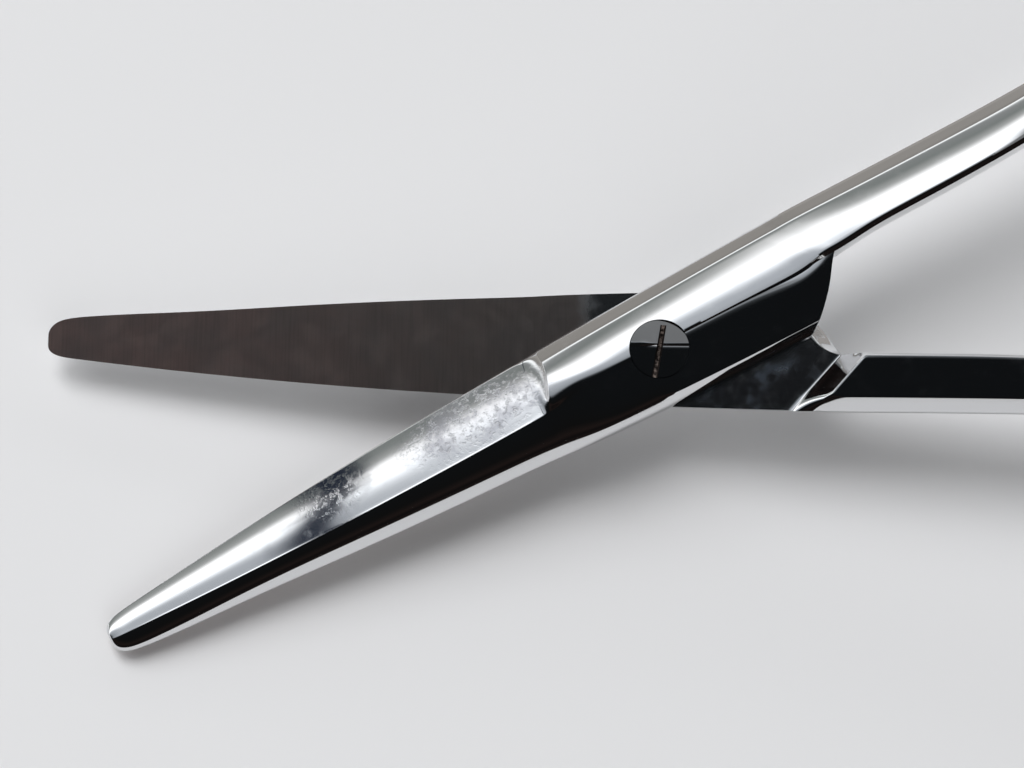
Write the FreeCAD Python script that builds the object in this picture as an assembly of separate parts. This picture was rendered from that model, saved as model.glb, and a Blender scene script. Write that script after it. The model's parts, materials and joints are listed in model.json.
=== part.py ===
import FreeCAD, Part
import math
import os
from FreeCAD import Rotation, Vector

# Dissecting scissors, in millimetres. Z = 0 is the plane where the flat inner faces lap,
# the joint screw's axis is Z, and the rear half's centre line runs along X, rings towards +X.
# Each half is shaped in its own frame: x along it, +y its cutting side, -y its back side,
# y = 0 the joint's centre line, and z its height above the inner face.

# The joint
opening_angle = 28.0
screw_off_centre = 0.43
lap_gap = 0.05
joint_height = 3.2
joint_back_side = 6.1
joint_edge_swell = 0.1
joint_back_swell = 0.25
bar_wall_height = 0.4
bar_end_x = 21.0
plate_wall_height = 1.2
crease_y = -0.1
crease_start_x = -8.0
crease_end_depth = 0.65

# The blade
blade_length = 62.5
edge_at_step = 5.4
back_at_step = 5.55
edge_near_tip = 1.83
back_near_tip = 2.83
near_tip_from_end = 4.5
edge_swell = 0.5
back_swell = 0.45
bevel_angle = 23.0
bevel_stock = 0.15
edge_land = 0.2
ridge_side = 1.15
back_flank = 1.1
back_wall_height = 0.25
step_x = -13.2
run_out_radius = 2.2
nose_length = 2.3
nose_room = 0.2

# The shoulder, where the shank drops below the lap plane, and the plate's end that clears it
shoulder_x = 18.7
shoulder_y = 0.44
shoulder_slant = 41.5
shoulder_radius = 1.9
shank_drop = 1.8
plate_end_gap = 0.6
plate_end_wave = 0.25
plate_end_chamfer = 1.5
rear_plate_setback = 1.2

# The shank
shank_width = 6.0
shank_inner_y = 0.42
shank_inner_bevel = 0.65
shank_bevel_height = 0.6
shank_outer_round = 1.35
shank_round_height = 1.5
shank_narrow_width = 5.3
shank_end_height = 1.75

# The finger ring
scissors_length = 169.5
ring_hole_length = 26.0
ring_hole_width = 20.0
ring_end_radius = 10.5
ring_wire = 4.5
ring_gap = 1.0
shank_meets_ring = 0.47

# The joint screw
head_diameter = 6.0
head_seat_height = 1.3
neck_diameter = 4.2
thread_diameter = 3.6
running_clearance = 0.06
slot_width = 0.5
slot_depth = 0.8
slot_saw_radius = 5.5
slot_angle = 80.0
slot_shift = 0.22

section_spacing = 4.5
past = 3 * joint_height
up = Vector(0, 0, 1)
near_tip_x = near_tip_from_end - blade_length
ring_half_length = (ring_hole_length + ring_wire) / 2
ring_half_width = (ring_hole_width + ring_wire) / 2
ring_x = scissors_length - blade_length - ring_wire / 2 - ring_half_length
ring_y = (ring_gap + ring_wire) / 2 + ring_half_width


def bezier(*points):
    curve = Part.BezierCurve()
    curve.setPoles([Vector(*point) for point in points])
    return curve.toShape()


def line(start, end):
    return Part.LineSegment(Vector(*start), Vector(*end)).toShape()


def spline(points):
    curve = Part.BSplineCurve()
    curve.interpolate(points)
    return curve.toShape()


def swelling(x, start, end, swell):
    """A value that runs from one place to another, each an (x, value), and swells between."""
    share = (x - start[0]) / (end[0] - start[0])
    return start[1] + (end[1] - start[1]) * share + swell * 4 * share * (1 - share)


def eased(x, start_x, end_x):
    """0 before start_x, 1 past end_x, and smooth between."""
    share = min(1.0, max(0.0, (x - start_x) / (end_x - start_x)))
    return share * share * (3 - 2 * share)


def mixed(low, high, share):
    return low + (high - low) * share


def edge_y(x):
    """Sideways place of the cutting edge, and past the step of the joint's outer wall."""
    step = (step_x, edge_at_step)
    if x < step_x:
        return swelling(x, step, (near_tip_x, edge_near_tip), edge_swell)
    return swelling(x, step, (bar_end_x, shank_inner_y + shank_width), joint_edge_swell)


def back_y(x):
    """Sideways place of the back."""
    step = (step_x, -back_at_step)
    if x < step_x:
        return swelling(x, step, (near_tip_x, -back_near_tip), -back_swell)
    return swelling(x, step, (bar_end_x, -joint_back_side), -joint_back_swell)


def blank_section(x):
    """The forged blank: a rounded back, and on the cutting side stock for the bevel, which
    turns into the joint's half-round bar with a crease between it and the flatter plate."""
    y_edge = edge_y(x)
    y_back = back_y(x)
    joint = eased(x, step_x - 1, step_x + 7)
    depth = crease_end_depth * max(0.0, (x - crease_start_x) / (bar_end_x - crease_start_x))
    ridge_z = edge_land + math.tan(math.radians(bevel_angle)) * (y_edge + ridge_side)
    crown_z = mixed(ridge_z + bevel_stock, joint_height, joint)
    wall_z = mixed(4 * edge_land, bar_wall_height, joint)
    back_z = mixed(back_wall_height, plate_wall_height, joint)
    flank_z = mixed(0.72 * crown_z, crown_z - 1.2 * depth, joint)
    mid_y = mixed(crease_y, shank_inner_y, eased(x, bar_end_x - 6, bar_end_x))
    mid_z = crown_z - depth
    round_y = y_edge - shank_outer_round
    round_z = shank_round_height - shank_drop
    return Part.Wire([
        line((x, y_back, -shank_drop), (x, round_y, -shank_drop)),
        bezier(
            (x, round_y, -shank_drop),
            (x, mixed(round_y, y_edge, 0.67), -shank_drop),
            (x, y_edge, -0.7 * shank_drop),
            (x, y_edge, round_z),
        ),
        line((x, y_edge, round_z), (x, y_edge, wall_z)),
        bezier(
            (x, y_edge, wall_z),
            (x, y_edge, crown_z - 0.2 * joint),
            (x, mid_y + 1.0, crown_z + 1.6 * depth),
            (x, mid_y, mid_z),
        ),
        bezier(
            (x, mid_y, mid_z),
            (x, mid_y - 1.8, mid_z + 0.05 * joint),
            (x, y_back + back_flank * (1 - joint), flank_z),
            (x, y_back, back_z),
        ),
        line((x, y_back, back_z), (x, y_back, -shank_drop)),
    ])


def forged_blank():
    """Blade and joint as forged, before the inner face, bevel and plate end are ground."""
    first_x = -blade_length - nose_length
    count = round((bar_end_x - first_x) / section_spacing)
    spacing = (bar_end_x - first_x) / count
    sections = [blank_section(first_x + spacing * i) for i in range(count + 1)]
    return Part.makeLoft(sections, True, False)


def shank_section(x, y_in, width, lean):
    """Half oval outside and flat inside where lean is 1, and an oval where it is 0."""
    y_out = y_in + width
    top_z = mixed(shank_end_height, joint_height, lean)
    bottom_z = -mixed(shank_end_height, shank_drop, lean)
    outer_z = mixed(0.1, bar_wall_height, lean)
    inner_z = mixed(0.3, joint_height - crease_end_depth, lean)
    round_y = y_out - mixed(0.4 * width, shank_outer_round, lean)
    round_z = shank_round_height - shank_drop
    bevel_y = y_in + mixed(0.35 * width, shank_inner_bevel, lean)
    bevel_z = mixed(-0.35 * shank_end_height, shank_bevel_height - shank_drop, lean)
    return Part.Wire([
        line((x, bevel_y, bottom_z), (x, round_y, bottom_z)),
        bezier(
            (x, round_y, bottom_z),
            (x, mixed(round_y, y_out, 0.67), bottom_z),
            (x, y_out, 0.7 * bottom_z),
            (x, y_out, round_z),
        ),
        line((x, y_out, round_z), (x, y_out, outer_z)),
        bezier(
            (x, y_out, outer_z),
            (x, y_out, top_z + mixed(0.45, -0.2, lean)),
            (x, y_in + lean, top_z + mixed(0.45, 1.6 * crease_end_depth, lean)),
            (x, y_in, inner_z),
        ),
        line((x, y_in, inner_z), (x, y_in, bevel_z)),
        line((x, y_in, bevel_z), (x, bevel_y, bottom_z)),
    ])


def shank():
    """From the joint to the middle of the ring's wire, straight at first and then bowed."""
    end_x = ring_x - ring_half_length * math.sqrt(1 - shank_meets_ring ** 2) + ring_wire / 10
    start_y = shank_inner_y + shank_width / 2
    end_y = ring_y - ring_half_width * shank_meets_ring
    count = round((end_x - bar_end_x) / (1.4 * section_spacing))
    sections = []
    for i in range(count + 1):
        share = i / count
        width = mixed(shank_width, shank_narrow_width, eased(share, 0.2, 0.75))
        centre_y = mixed(start_y, end_y, 0.05 * share + 0.95 * share ** 2.3)
        lean = 1 - eased(share, 0.1, 0.9)
        x = mixed(bar_end_x, end_x, share)
        sections.append(shank_section(x, centre_y - width / 2, width, lean))
    return Part.makeLoft(sections, True, False)


def bent_wire(centre, radius, start_angle, turn):
    """A stretch of the ring's round wire, bent round a centre."""
    along = Rotation(up, start_angle).multVec(Vector(1, 0, 0))
    wire = Part.Circle(centre + along * radius, up.cross(along), ring_wire / 2)
    return Part.Face(Part.Wire([wire.toShape()])).revolve(centre, up, turn)


def finger_ring():
    """An oval ring level with the lap plane: two end arcs and two wider side arcs."""
    end_offset = ring_half_length - ring_end_radius
    narrow = ring_half_width - ring_end_radius
    side_radius = ring_end_radius + (end_offset ** 2 + narrow ** 2) / (2 * narrow)
    side_offset = side_radius - ring_half_width
    end_turn = math.degrees(math.atan2(side_offset, end_offset))
    side_turn = 90 - end_turn
    middle = Vector(ring_x, ring_y, 0)
    end = Vector(end_offset, 0, 0)
    side = Vector(0, side_offset, 0)
    first = bent_wire(middle + end, ring_end_radius, -end_turn, 2 * end_turn)
    return first.fuse([
        bent_wire(middle - side, side_radius, end_turn, 2 * side_turn),
        bent_wire(middle - end, ring_end_radius, 180 - end_turn, 2 * end_turn),
        bent_wire(middle + side, side_radius, 180 + end_turn, 2 * side_turn),
    ])


def shoulder_directions():
    """Along the slanted shoulder, away from the shank's inner side, and square out of it."""
    slant = math.radians(shoulder_slant)
    along = Vector(-math.sin(slant), math.cos(slant), 0)
    outward = Vector(math.cos(slant), math.sin(slant), 0)
    return along, outward


def inner_face_cut():
    """What the grinding of the inner face takes off, up to the concave slanted shoulder."""
    along, outward = shoulder_directions()
    root = Vector(shoulder_x, shoulder_y, lap_gap / 2)
    bend = shoulder_radius * math.sqrt(0.5)
    reach = 2 * blade_length

    def place(distance, drop):
        return root + outward * distance - up * drop

    top = place(shoulder_radius, shoulder_radius)
    profile = Part.Wire([
        Part.LineSegment(place(-reach, 0), root).toShape(),
        Part.Arc(root, place(bend, shoulder_radius - bend), top).toShape(),
        Part.LineSegment(top, place(shoulder_radius, past)).toShape(),
        Part.LineSegment(place(shoulder_radius, past), place(-reach, past)).toShape(),
        Part.LineSegment(place(-reach, past), place(-reach, 0)).toShape(),
    ])
    face = Part.Face(profile)
    face.translate(along * -reach)
    return face.extrude(along * 2 * reach)


def bevel_cut():
    """What the grinding of the bevel takes off, with the wheel's round run-out at the step."""
    slope = math.radians(bevel_angle)
    normal = Vector(0, math.sin(slope), math.cos(slope))
    across = Vector(0, -math.cos(slope), math.sin(slope))
    root = Vector(step_x, edge_y(step_x), edge_land)
    far_x = -blade_length - 2 * nose_length
    bend = run_out_radius * math.sqrt(0.5)

    def place(x, height):
        return root + Vector(x - step_x, 0, 0) + normal * height

    edge_points = []
    for i in range(5):
        x = mixed(far_x, step_x, i / 4)
        edge_points.append(place(x, (edge_y(x) - edge_y(step_x)) * math.sin(slope)))
    crest = place(step_x + run_out_radius, run_out_radius)
    profile = Part.Wire([
        spline(edge_points),
        Part.Arc(edge_points[-1], place(step_x + bend, run_out_radius - bend), crest).toShape(),
        Part.LineSegment(crest, place(step_x + run_out_radius, past)).toShape(),
        Part.LineSegment(place(step_x + run_out_radius, past), place(far_x, past)).toShape(),
        Part.LineSegment(place(far_x, past), edge_points[0]).toShape(),
    ])
    face = Part.Face(profile)
    face.translate(across * (-0.5 * past))
    return face.extrude(across * 2.5 * past)


def nose():
    """A bullet round the blade's axis that leaves the tip blunt and round."""
    tip_x = -blade_length
    full_x = tip_x + nose_length
    wide_x = tip_x + 20
    axis_y = (edge_y(full_x) + back_y(full_x)) / 2
    radius = (edge_y(full_x) - back_y(full_x)) / 2 + nose_room
    wide_y = axis_y + 20
    profile = Part.Wire([
        bezier(
            (tip_x, axis_y, 0),
            (tip_x, axis_y + 0.75 * radius, 0),
            (tip_x + 0.47 * nose_length, axis_y + 0.95 * radius, 0),
            (full_x, axis_y + radius, 0),
        ),
        line((full_x, axis_y + radius, 0), (wide_x, wide_y, 0)),
        line((wide_x, wide_y, 0), (2 * bar_end_x, wide_y, 0)),
        line((2 * bar_end_x, wide_y, 0), (2 * bar_end_x, axis_y, 0)),
        line((2 * bar_end_x, axis_y, 0), (tip_x, axis_y, 0)),
    ])
    return Part.Face(profile).revolve(Vector(0, axis_y, 0), Vector(1, 0, 0), 360)


def plate_end_cut(setback):
    """Past the plate's end, which clears the other half's shoulder in a slight wave, and the
    chamfer on its inner edge."""
    along, outward = shoulder_directions()
    along.y = -along.y
    outward.y = -outward.y
    root = Vector(shoulder_x, -shoulder_y, 0)
    reach = shoulder_radius - plate_end_gap - setback
    corner = joint_back_side / math.cos(math.radians(shoulder_slant))

    def place(distance, side):
        return root + outward * distance + along * side

    curve = spline([
        Vector(place(reach, -1.9).x, shank_inner_y, 0),
        place(reach - plate_end_wave, -0.7),
        place(reach + plate_end_wave / 2, 0.3 * corner),
        place(reach - plate_end_wave / 2, 0.75 * corner),
        place(reach - 3 * plate_end_wave, 1.1 * corner),
    ])
    start = curve.Vertexes[0].Point
    end = curve.Vertexes[1].Point
    far = Vector(bar_end_x + 1, end.y, 0)
    outline = Part.Wire([
        curve,
        Part.LineSegment(end, far).toShape(),
        Part.LineSegment(far, Vector(far.x, start.y, 0)).toShape(),
        Part.LineSegment(Vector(far.x, start.y, 0), start).toShape(),
    ])
    face = Part.Face(outline)
    face.translate(up * -past)
    edge = place(reach - plate_end_chamfer, -0.35 * corner) + up * (lap_gap / 2)
    wedge = Part.Wire(Part.makePolygon([
        edge,
        edge + outward * past + up * past,
        edge + outward * past - up * shank_drop,
        edge - up * shank_drop,
        edge,
    ]))
    return face.extrude(up * 2 * past), Part.Face(wedge).extrude(along * 1.6 * corner)


def closed_half(setback):
    """One half of the scissors with no screw hole, as it lies when they are closed."""
    plate_end, chamfer = plate_end_cut(setback)
    blade = forged_blank().common(nose()).cut([bevel_cut(), plate_end, chamfer])
    half = blade.fuse([shank(), finger_ring()]).cut(inner_face_cut()).removeSplitter()
    half.translate(Vector(0, screw_off_centre, 0))
    return half.Solids[0]


def cylinder(diameter, bottom_z, top_z):
    return Part.makeCylinder(diameter / 2, top_z - bottom_z, Vector(0, 0, bottom_z))


def screw_hole():
    """The counterbore and through hole in the front half, with the running clearance."""
    room = 2 * running_clearance
    counterbore = cylinder(head_diameter + room, head_seat_height - running_clearance, past)
    return counterbore.fuse(cylinder(neck_diameter + room, -past, past))


def pivot_screw(front, rear):
    """The joint screw: its head and end are ground flush with the closed halves."""
    head = cylinder(head_diameter, head_seat_height, past).common(front)
    neck = cylinder(neck_diameter, -lap_gap / 2, head_seat_height + slot_depth)
    thread = cylinder(thread_diameter, -past, 0).common(rear)
    along = Rotation(up, slot_angle).multVec(Vector(1, 0, 0))
    across = up.cross(along)
    saw_z = joint_height - slot_depth + slot_saw_radius
    saw_centre = up * saw_z - along * slot_shift - across * (slot_width / 2)
    saw = Part.makeCylinder(slot_saw_radius, slot_width, saw_centre, across)
    return head.fuse([neck, thread]).cut(saw).removeSplitter().Solids[0]


def main():
    front = closed_half(0.0)
    rear = closed_half(rear_plate_setback)
    rear.rotate(Vector(0, 0, 0), Vector(1, 0, 0), 180)
    rear.translate(Vector(0, 2 * screw_off_centre, 0))
    screw = pivot_screw(front, rear)
    front = front.cut(screw_hole()).Solids[0]
    front.rotate(Vector(0, 0, 0), up, opening_angle)
    rear = rear.cut(cylinder(thread_diameter, -past, past)).Solids[0]
    os.makedirs("parts", exist_ok=True)
    for name, solid in (("front_half", front), ("rear_half", rear), ("pivot_screw", screw)):
        solid.exportStep(f"parts/{name}.step")
        print(name, "valid" if solid.isValid() else "broken", f"{solid.Volume:.1f} mm3")


main()
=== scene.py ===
import json
import math

import bmesh
import bpy
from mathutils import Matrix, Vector

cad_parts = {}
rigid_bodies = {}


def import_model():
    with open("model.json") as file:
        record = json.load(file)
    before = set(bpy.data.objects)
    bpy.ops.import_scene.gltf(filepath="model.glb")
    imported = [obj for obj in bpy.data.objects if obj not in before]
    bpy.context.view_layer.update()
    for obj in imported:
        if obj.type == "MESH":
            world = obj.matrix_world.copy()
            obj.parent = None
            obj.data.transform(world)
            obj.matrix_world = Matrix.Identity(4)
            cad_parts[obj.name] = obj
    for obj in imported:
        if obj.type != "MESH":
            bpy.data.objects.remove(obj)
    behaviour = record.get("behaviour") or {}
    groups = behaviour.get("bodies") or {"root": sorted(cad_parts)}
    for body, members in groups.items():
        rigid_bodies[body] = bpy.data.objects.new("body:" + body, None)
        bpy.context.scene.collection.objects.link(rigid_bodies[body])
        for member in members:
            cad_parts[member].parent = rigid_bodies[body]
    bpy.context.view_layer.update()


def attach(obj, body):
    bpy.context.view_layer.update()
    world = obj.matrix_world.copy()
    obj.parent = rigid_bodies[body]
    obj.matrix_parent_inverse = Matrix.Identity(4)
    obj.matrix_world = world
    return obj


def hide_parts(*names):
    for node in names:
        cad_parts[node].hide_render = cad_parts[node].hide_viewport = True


# An empty scene, whatever Blender starts with
bpy.ops.object.select_all(action="SELECT")
bpy.ops.object.delete()
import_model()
print("frame loaded")

mm = 0.001
sharpAngle = math.radians(32)


def selectOnly(piece):
    bpy.ops.object.select_all(action="DESELECT")
    piece.select_set(True)
    bpy.context.view_layer.objects.active = piece


# The camera comes first, at the photograph's angle
camera = {
    "lens": 85.9,
    "sensorWidth": 36,
    "distance": 250,
    "tilt": 10,        # degrees from straight down, towards -Y
    "aimX": -14.93,
    "aimY": -3.21,
    "roll": 0.3,
}


def addCamera():
    tilt = math.radians(camera["tilt"])
    target = Vector((camera["aimX"], camera["aimY"], 0)) * mm
    back = Vector((0, -math.sin(tilt), math.cos(tilt))) * camera["distance"] * mm
    bpy.ops.object.camera_add(location=target + back)
    eye = bpy.context.object
    eye.name = "photoCamera"
    eye.data.lens = camera["lens"]
    eye.data.sensor_width = camera["sensorWidth"]
    eye.data.clip_start = 0.01
    turn = (-back).to_track_quat("-Z", "Y").to_matrix().to_4x4()
    roll = math.radians(camera["roll"])
    eye.rotation_euler = turn.to_euler()
    eye.rotation_euler.rotate_axis("Z", roll)
    bpy.context.scene.camera = eye


addCamera()
print("camera placed")

# What both halves share, in millimetres: x along the half with the rings at +x, y to its
# cutting side, z up from the inner face. y = 0 is the joint's centre line.
half = {
    "openingAngle": 28,
    "screwOffCentre": 0.43,
    "lap": 0.025,            # inner face above the lap plane
    # Blade, from the step to the blunt tip
    "stepX": -13.2,
    "nearTip": -58,
    "edgeAtStep": 5.4,
    "edgeNearTip": 1.83,
    "edgeSwell": 0.45,
    "edgeLand": 0.2,
    "backAtStep": 5.55,
    "backNearTip": 2.83,
    "backSwell": 0.45,
    "backHeight": 0.25,
    "backStrip": 0.75,
    "trimSpan": (-8, -18),
    "noseFullness": 0.55,
    "noseSpan": (-44, -60),
    "ridgeAtStep": -1.0,
    "ridgeAtEnd": -0.85,
    "ridgeEndX": -61,
    "ridgeSwell": -0.45,
    "ridgeLand": 0.14,       # half the width of the bright line along the ridge
    "ridgeRise": 0.048,
    "bevelAngle": 20.3,
    "bevelRound": 0.19,
    # Joint: a raised bar on the cutting side, a lower plate on the back side
    "jointHeight": 3.2,
    "edgeBow": 0.1,
    "backSide": 6.1,
    "backBow": 0.25,
    "wallHeight": 0.58,
    "flankWidth": 1.43,
    "creaseY": -0.1,
    "creaseStart": -8,
    "creaseDepth": 0.65,
    "barEnd": 21,
    "plateStrip": 0.75,
    "plateBack": 2.2,        # where the plate's end rows begin, before its end
    "plateUndercut": 1.5,    # how much shorter the plate is underneath
    # Shoulder and shank
    "shoulderX": 18.7,
    "shoulderY": 0.44,
    "shoulderSlant": 41.5,
    "shoulderWidth": 1.95,
    "breakSpan": (17, 20),   # where the inner edge begins to be chamfered
    "breakWidth": 0.38,
    "breakDepth": 0.36,
    "shankDrop": 1.8,
    "shankNarrowing": 0.65,
    "shankEndX": 76.5,
    "shankEndY": 9.24,
    "shankEndHeight": 1.75,
}
# Where the two halves differ after grinding: how far the plate reaches to the shoulder, what is
# ground off the blade's edge and back, and where the shank's two sides lie
frontShape = {
    "plateReach": 1.3, "edgeTrim": 0.05, "backTrim": 0.38,
    "shankRoot": 0.25, "shankInner": 0.75, "shankOuter": 6.7,
}
rearShape = {
    "plateReach": 0.1, "edgeTrim": 0.36, "backTrim": 0.12,
    "shankRoot": 0.45, "shankInner": 0.45, "shankOuter": 6.35,
}
slantRise = math.tan(math.radians(half["shoulderSlant"]))

# Rows of the cage along the half. The tip's second number is how much of the full section is
# left, the joint's and the shank's how far the row bends towards the shoulder's slant.
tipRows = ((-62.55, 0.4), (-62.2, 0.68), (-61.4, 0.89))
bladeRows = (-60.2, -58, -54, -49, -43, -37, -31, -25, -20, -16.5, -14.4)
jointRows = (
    (-9.8, 0), (-7.6, 0), (-5, 0), (-2, 0), (1, 0.05), (4, 0.1), (7, 0.2), (10, 0.35),
    (12.8, 0.5), (15.3, 0.75), (17, 0.9),
)
shankRows = (
    (23, 0.8), (26, 0.5), (30, 0.2), (34, 0), (39, 0), (44, 0), (49, 0), (54, 0), (59, 0),
    (63.5, 0), (67.5, 0), (71, 0),
)


def mixed(low, high, share):
    return low + (high - low) * share


def eased(x, start, end):
    share = min(1.0, max(0.0, (x - start) / (end - start)))
    return share * share * (3 - 2 * share)


def swelling(x, x0, v0, x1, v1, swell):
    share = (x - x0) / (x1 - x0)
    return v0 + (v1 - v0) * share + swell * 4 * share * (1 - share)


def alongBlade(x, atStep, nearTip, swell):
    return swelling(x, half["stepX"], atStep, half["nearTip"], nearTip, swell)


def alongJoint(x, atStep, atEnd, swell):
    return swelling(x, half["stepX"], atStep, half["barEnd"], atEnd, swell)


def edgeY(x):
    trim = half["edgeTrim"] * eased(x, *half["trimSpan"])
    if x < half["stepX"]:
        return alongBlade(x, half["edgeAtStep"], half["edgeNearTip"], half["edgeSwell"]) - trim
    return alongJoint(x, half["edgeAtStep"], half["shankOuter"], half["edgeBow"]) - trim


def backY(x):
    fuller = half["noseFullness"] * eased(x, *half["noseSpan"])
    trim = half["backTrim"] * eased(x, *half["trimSpan"]) - fuller
    if x < half["stepX"]:
        return alongBlade(x, -half["backAtStep"], -half["backNearTip"], -half["backSwell"]) + trim
    return alongJoint(x, -half["backAtStep"], -half["backSide"], -half["backBow"]) + trim


def ridgeY(x):
    atStep, atEnd = half["ridgeAtStep"], half["ridgeAtEnd"]
    return swelling(x, half["stepX"], atStep, half["ridgeEndX"], atEnd, half["ridgeSwell"])


def creaseY(x):
    return mixed(half["creaseY"], half["shankRoot"], eased(x, 15, 21))


def creaseDrop(x):
    span = half["barEnd"] - half["creaseStart"]
    return half["creaseDepth"] * min(1.0, max(0.0, (x - half["creaseStart"]) / span))


def innerBreak(x):
    return eased(x, *half["breakSpan"])


# The bevel is ground a little round: steeper at the edge than at the ridge
def facetZ(x, y):
    across = (edgeY(x) - y) / (edgeY(x) - ridgeY(x))
    crown = half["bevelRound"] * (edgeY(x) - ridgeY(x)) * across * (1 - across)
    return half["edgeLand"] + math.tan(math.radians(half["bevelAngle"])) * (edgeY(x) - y) + crown


# One ring of the blade and joint: t0 to t11 over the outer side from the cutting edge to the
# back, and b9 to b2 back under the inner face.
overTop = ["t0", "t1", "t2", "t3", "t4", "t5", "t6", "t7", "t8", "t9", "t10", "t11"]
under = ["b9", "b8", "b7", "b6", "b5", "b4", "b3", "b2"]
wholeRing = overTop + under
facetLines = ("t1", "t2", "t3", "t4", "t5")
barUnder = ["b6", "b5", "b4", "b3", "b2"]
barPath = barUnder + overTop[:7]
plateTop = ["t6", "t7", "t8", "t9", "t10"]
plateUnder = ["b6", "b7", "b8", "b9", "t11"]


def underY(name, x):
    edge, back = edgeY(x), backY(x)
    crease = mixed(ridgeY(x), creaseY(x), eased(x, -14, -8))
    crease = mixed(crease, half["shankRoot"], eased(x, 12, 18))
    inner = crease + 0.3
    outer = edge - 1.2
    places = {
        "b9": back + 0.6, "b8": mixed(back, crease, 0.5), "b7": crease - 0.6, "b6": crease,
        "b5": inner, "b4": mixed(inner, outer, 0.33), "b3": mixed(inner, outer, 0.67),
        "b2": outer,
    }
    return places[name]


# Across the bevel from the edge: share of its width
bevelShares = {"t2": 0.2, "t3": 0.38, "t4": 0.62}


def bladePoint(name, x):
    if name in under:
        return underY(name, x), half["lap"]
    edge, back, ridge = edgeY(x), backY(x), ridgeY(x)
    if name in bevelShares:
        y = mixed(edge, ridge, bevelShares[name])
        return y, facetZ(x, y)
    land, low = half["ridgeLand"], half["backHeight"]
    ridgeZ = facetZ(x, ridge + land) + half["ridgeRise"]
    strip = half["backStrip"] * eased(-x, 75, 30) + 0.15
    places = {
        "t0": (edge, half["lap"]), "t1": (edge, half["edgeLand"]),
        "t5": (ridge + land, facetZ(x, ridge + land)),
        "t6": (ridge, ridgeZ),
        "t7": (ridge - land, ridgeZ - 0.012),
        "t8": (mixed(back, ridge, 0.65), mixed(low, ridgeZ, 0.95)),
        "t9": (back + strip, low + min(2.1 * strip, 0.74 * (ridgeZ - low))),
        "t10": (back, low), "t11": (back, half["lap"]),
    }
    return places[name]


# Across the bar from the crease to its wall: share of the width, share of the height
barArc = {"t4": (0.317, 0.86), "t3": (0.567, 0.635), "t2": (0.755, 0.41)}


def barPoint(name, inner, outer, crown):
    wall = half["wallHeight"]
    across, rise = barArc[name]
    y = outer - half["flankWidth"] if name == "t2" else mixed(inner, outer, across)
    return y, mixed(wall, crown, rise)


def jointPoint(name, x):
    if name in under:
        return underY(name, x), half["lap"]
    edge, back, crease = edgeY(x), backY(x), creaseY(x)
    crown = half["jointHeight"]
    if name in barArc:
        return barPoint(name, crease, edge, crown)
    # The crease is soft behind the step and crisp by the screw
    crisp = eased(x, -8, -2)
    width = mixed(0.9, mixed(0.3, 0.9, eased(x, 7, 20)), crisp)
    rise = mixed(0.03 * crisp, 0.3 * width, eased(x, 9, 20))
    corner = mixed(0.06, half["breakWidth"], innerBreak(x))
    brim = mixed(mixed(-0.35, 0.7, eased(x, -12.6, -8.5)), corner, crisp)
    plate = crown - creaseDrop(x)
    foot = mixed(plate, crown - half["breakDepth"], innerBreak(x))
    strip = plate - mixed(0.25, 0.1, eased(x, -9, 2))
    places = {
        "t0": (edge, half["lap"]), "t1": (edge, half["wallHeight"]),
        "t5": (crease + brim, crown - mixed(0.03, 0, crisp)),
        "t6": (crease - mixed(0.1, 0.06, crisp), foot),
        "t7": (crease - width, plate + rise),
        "t8": (mixed(crease, back, 0.5), plate - 0.02),
        "t9": (back + half["plateStrip"], strip),
        "t10": (back, strip - mixed(1.16, 1.4, eased(x, -12, 0))), "t11": (back, half["lap"]),
    }
    return places[name]


# Blade and joint mixed: the bevel's own lines switch at the step, the rest ease over
def outerPoint(name, x, onBar):
    if name in facetLines:
        y, z = jointPoint(name, x) if onBar else bladePoint(name, x)
    else:
        share = eased(x, -14.2, -7)
        blade, joint = bladePoint(name, x), jointPoint(name, x)
        y, z = mixed(blade[0], joint[0], share), mixed(blade[1], joint[1], share)
    return Vector((x, y, z))


# The section at the last full row, drawn in towards the middle of the blunt tip
def tipPoint(name, x, share):
    full = outerPoint(name, bladeRows[0], False)
    lap = half["lap"]
    return Vector((x, mixed(-0.5, full.y, share), lap + (full.z - lap) * min(1.0, share * 1.08)))


# Where each line of the bevel runs out: the root of its hollow and the crest on the bar
stepRoots = {"t1": -12.8, "t2": -12.95, "t3": -13.1, "t4": -13.25, "t5": -13.3}
stepCrests = {"t1": -11.1, "t2": -11.1, "t3": -11.2, "t4": -11.65, "t5": -12.6}
stepSpan = (-13.45, -11.6)
stepRows = 6


# The rows of the run-out: its root, four up its hollow with the crest last, and the bar behind
def stepPlace(name, row):
    if name not in facetLines:
        return outerPoint(name, mixed(*stepSpan, row / (stepRows - 1)), True)
    root, crest = stepRoots[name], stepCrests[name]
    start = outerPoint(name, root, False)
    end = outerPoint(name, crest, True)
    if row == stepRows - 1:
        return outerPoint(name, crest + 0.3, True)
    share = row / (stepRows - 2)
    return Vector((
        mixed(start.x, end.x, share),
        mixed(start.y, end.y, share),
        mixed(start.z, end.z, 0.55 * share + 0.45 * share ** 2),
    ))


def deselect():
    bpy.ops.mesh.select_all(action="DESELECT")


def editMesh():
    mesh = bmesh.from_edit_mesh(bpy.context.object.data)
    mesh.verts.index_update()
    mesh.verts.ensure_lookup_table()
    return mesh


def vertAt(mesh, place):
    return min(mesh.verts, key=lambda vert: (vert.co - place).length_squared)


def pick(places):
    deselect()
    mesh = editMesh()
    for place in places:
        vertAt(mesh, place).select_set(True)
    mesh.select_flush(True)
    bmesh.update_edit_mesh(bpy.context.object.data)


def moveTo(start, place):
    pick([start])
    bpy.ops.transform.translate(value=place - start)


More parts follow.
